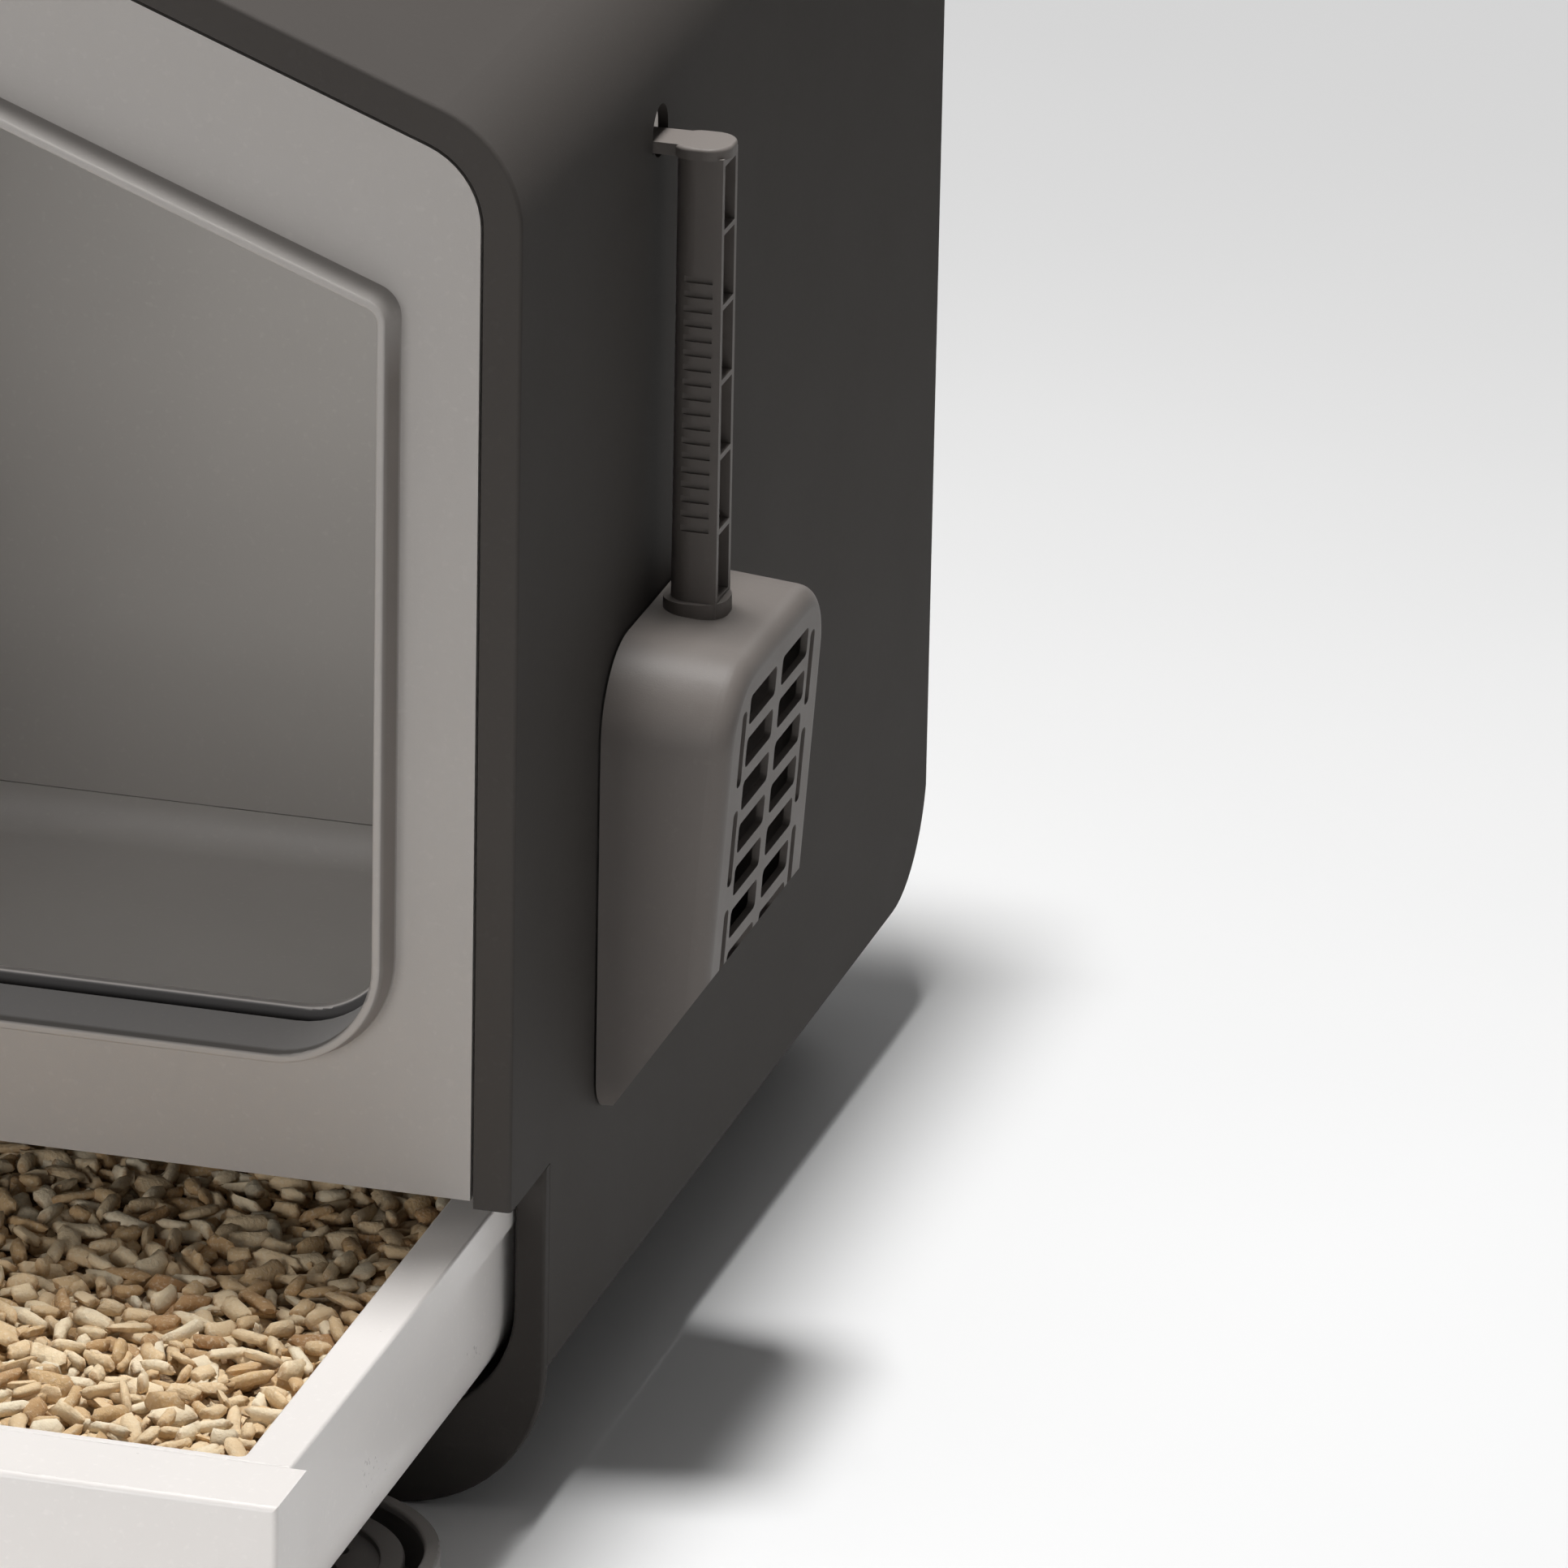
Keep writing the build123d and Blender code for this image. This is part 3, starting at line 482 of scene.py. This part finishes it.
class GeometryTree(NodeTree):
    def __init__(self, name, inputs):
        super().__init__(bpy.data.node_groups.new(name, "GeometryNodeTree"))
        interface = self.tree.interface
        self.identifiers = {}
        for label, kind in {"Geometry": "NodeSocketGeometry", **inputs}.items():
            made = interface.new_socket(name=label, in_out="INPUT", socket_type=kind)
            self.identifiers[label] = made.identifier
        interface.new_socket(name="Geometry", in_out="OUTPUT", socket_type="NodeSocketGeometry")
        outputs = self.add("NodeGroupInput", {}, {}).socket.node.outputs
        self.given = {label: Wire(self, outputs[label]) for label in self.identifiers}

    def draw(self, kind, least, most, seed):  # a random value for each chip
        first = ("FLOAT_VECTOR", "FLOAT", "INT").index(kind)
        return self.add("FunctionNodeRandomValue", {"data_type": kind},
                        {2 * first: least, 2 * first + 1: most, "Seed": seed}, first)


def scatterTree():
    chips = [f"Chip{number}" for number in range(chip["shapes"])]
    tree = GeometryTree("pelletScatter", {
        "Gap": "NodeSocketFloat", "Density": "NodeSocketFloat", "Seed": "NodeSocketInt",
        "Tilt": "NodeSocketFloat", "Smallest": "NodeSocketVector", "Largest": "NodeSocketVector",
        "Finish": "NodeSocketMaterial", **dict.fromkeys(chips, "NodeSocketObject")})
    given = tree.given
    spread = tree.add("GeometryNodeDistributePointsOnFaces", {"distribute_method": "POISSON"},
                      {"Mesh": given["Geometry"], "Distance Min": given["Gap"],
                       "Density Max": given["Density"], "Seed": given["Seed"]})
    least = tree.add("ShaderNodeCombineXYZ", {}, {0: -math.pi, 1: given["Tilt"] * -1.0, 2: -math.pi})
    most = tree.add("ShaderNodeCombineXYZ", {}, {0: math.pi, 1: given["Tilt"], 2: math.pi})
    shapes = [tree.add("GeometryNodeObjectInfo", {}, {"Object": given[label], "As Instance": True},
                       "Geometry") for label in chips]
    laid = tree.add("GeometryNodeInstanceOnPoints", {}, {
        "Points": spread, "Instance": tree.add("GeometryNodeJoinGeometry", {}, {0: shapes}),
        "Pick Instance": True, "Instance Index": tree.draw("INT", 0, len(chips) - 1, given["Seed"]),
        "Rotation": tree.draw("FLOAT_VECTOR", least, most, given["Seed"]),
        "Scale": tree.draw("FLOAT_VECTOR", given["Smallest"], given["Largest"], heap["sizeSeed"])})
    tinted = tree.add("GeometryNodeStoreNamedAttribute", {"data_type": "FLOAT", "domain": "INSTANCE"},
                      {"Geometry": laid, "Name": "pelletTint",
                       "Value": tree.draw("FLOAT", 0.0, 1.0, heap["tintSeed"])})
    loose = tree.add("GeometryNodeRealizeInstances", {}, {"Geometry": tinted})
    shaded = tree.add("GeometryNodeSetMaterial", {}, {"Geometry": loose, "Material": given["Finish"]})
    tree.add("NodeGroupOutput", {}, {"Geometry": shaded}, None)
    return tree


def layerGround(name, drop):
    columns, rows = heap["columns"], heap["rows"]
    (acrossPace, acrossPhase), (alongPace, alongPhase) = heap["swell"]
    share, chopAcross, chopAlong = heap["chop"]
    near, far = bedLow.y + heap["margin"], bedHigh.y - heap["margin"]
    side = bedHigh.x - heap["margin"]
    points = []
    for row in range(rows + 1):
        for column in range(columns + 1):
            x = -side + 2 * side * column / columns
            y = near + (far - near) * row / rows
            swell = math.sin(acrossPace * x + acrossPhase) * math.cos(alongPace * y + alongPhase)
            wave = swell + share * math.sin(chopAlong * y + chopAcross * x)
            points.append((x, y, bedHigh.z - drop + heap["ripple"] * wave / (1 + share)))
    wide = columns + 1
    corners = [row * wide + column for row in range(rows) for column in range(columns)]
    return newObject(name, points, [(i, i + 1, i + wide + 1, i + wide) for i in corners])


def pelletLayer(index, tree, chips, material):
    drop, gap, seed, tilt = heap["layers"][index]
    name = f"litterPellets{index + 1}"
    ground = layerGround(name + "Ground", drop)
    scatter = ground.modifiers.new("scatter", "NODES")
    scatter.node_group = tree.tree
    values = {"Gap": gap, "Density": heap["density"], "Seed": seed, "Tilt": tilt,
              "Smallest": heap["smallest"], "Largest": heap["largest"], "Finish": material}
    values.update({f"Chip{number}": shape for number, shape in enumerate(chips)})
    for label, value in values.items():
        scatter[tree.identifiers[label]] = value
    evaluated = ground.evaluated_get(bpy.context.evaluated_depsgraph_get())
    mesh = bpy.data.meshes.new_from_object(evaluated)
    mesh.name = name
    mesh.polygons.foreach_set("use_smooth", [True] * len(mesh.polygons))
    mesh.set_sharp_from_angle(angle=math.radians(heap["crease"]))
    layer = bpy.data.objects.new(name, mesh)
    bpy.context.scene.collection.objects.link(layer)
    ground.modifiers.clear()
    bpy.data.objects.remove(ground)
    return layer


def layLitter():
    tree, material = scatterTree(), pelletMaterial()
    chips = [pelletShape(number) for number in range(chip["shapes"])]
    pieces = [crumbBed()]
    pieces += [pelletLayer(index, tree, chips, material) for index in range(len(heap["layers"]))]
    for shape in chips:
        bpy.data.objects.remove(shape)
    return pieces


litterPieces = layLitter()
for piece in litterPieces:
    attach(piece, "drawer")
    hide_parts("litter_bed")
print("litter laid:", sum(len(piece.data.polygons) for piece in litterPieces), "faces")

# the studio: a pale floor that runs into an even backdrop, and soft lamps
studio = {
    "floor": 0.80,
    "floorPaler": 0.84,
    "floorPatches": (3.0, 2.0),
    "floorRough": 0.8,
    "floorSpread": 0.1,
    "floorSide": 6.0,
    "fade": (1.0, 2.4),                       # metres from the origin: the lit floor gives way
    "backdrop": 0.80,                         # what the camera sees beyond it
    "world": 0.125,                           # what lights the object from all sides
    "lamps": (                                # name, place and aim from the hood's front, size, watts, spread
        ("overhead", (0.14, 0.22, 1.95), (0.05, 0.18, 0.0), 0.28, 39.0, 180.0),
        ("front", (-0.6, -2.6, 0.50), (0.0, 0.0, 0.24), 1.2, 30.0, 180.0),
        ("rear", (0.1, 3.2, 1.6), (0.0, 0.3, 0.3), 1.4, 10.0, 180.0),
        ("cabin", (0.0, 0.12, 0.42), (0.0, 0.40, 0.12), 0.12, 0.20, 100.0),    # fills the cabin
    ),
}


def addFloor():
    side = studio["floorSide"]
    corners = [(-side, -side, 0), (side, -side, 0), (side, side, 0), (-side, side, 0)]
    floor = newObject("floor", corners, [(0, 1, 2, 3)])
    finish = Finish("studioFloor")
    faint = finish.noise(*studio["floorPatches"])
    paper = finish.blend(faint, grey(studio["floor"]), grey(studio["floorPaler"]))
    rough = faint * studio["floorSpread"] + studio["floorRough"]
    sheet = finish.add("ShaderNodeBsdfPrincipled", {}, {"Base Color": paper, "Roughness": rough})
    glow = finish.add("ShaderNodeEmission", {}, {"Color": grey(studio["backdrop"])})
    away = finish.add("ShaderNodeVectorMath", {"operation": "LENGTH"}, {0: finish.place()}, "Value")
    seen = finish.add("ShaderNodeLightPath", {}, {}, "Is Camera Ray")
    beyond = finish.span(away, *studio["fade"], 0.0, 1.0) * seen
    mixed = finish.add("ShaderNodeMixShader", {}, {0: beyond, 1: sheet, 2: glow})
    finish.add("ShaderNodeOutputMaterial", {}, {"Surface": mixed}, None)
    floor.data.materials.append(finish.material)


def addLamps():
    for name, place, aim, size, power, spread in studio["lamps"]:
        lamp = bpy.data.lights.new(name, "AREA")
        lamp.size = size
        lamp.energy = power
        lamp.spread = math.radians(spread)
        holder = bpy.data.objects.new(name, lamp)
        holder.location = Vector(place) + hoodFront
        holder.rotation_euler = (Vector(aim) - Vector(place)).to_track_quat("-Z", "Y").to_euler()
        holder.visible_camera = False
        bpy.context.scene.collection.objects.link(holder)


def addWorld():
    world = bpy.data.worlds.new("studio")
    world.use_nodes = True
    sky = NodeTree(world.node_tree)
    seen = sky.add("ShaderNodeLightPath", {}, {}, "Is Camera Ray")
    strength = sky.span(seen, 0.0, 1.0, studio["world"], studio["backdrop"])
    background = sky.add("ShaderNodeBackground", {}, {"Color": grey(1.0), "Strength": strength})
    sky.add("ShaderNodeOutputWorld", {}, {"Surface": background}, None)
    bpy.context.scene.world = world
    bpy.context.scene.view_settings.view_transform = "Standard"


addFloor()
addLamps()
addWorld()
print("studio lit")
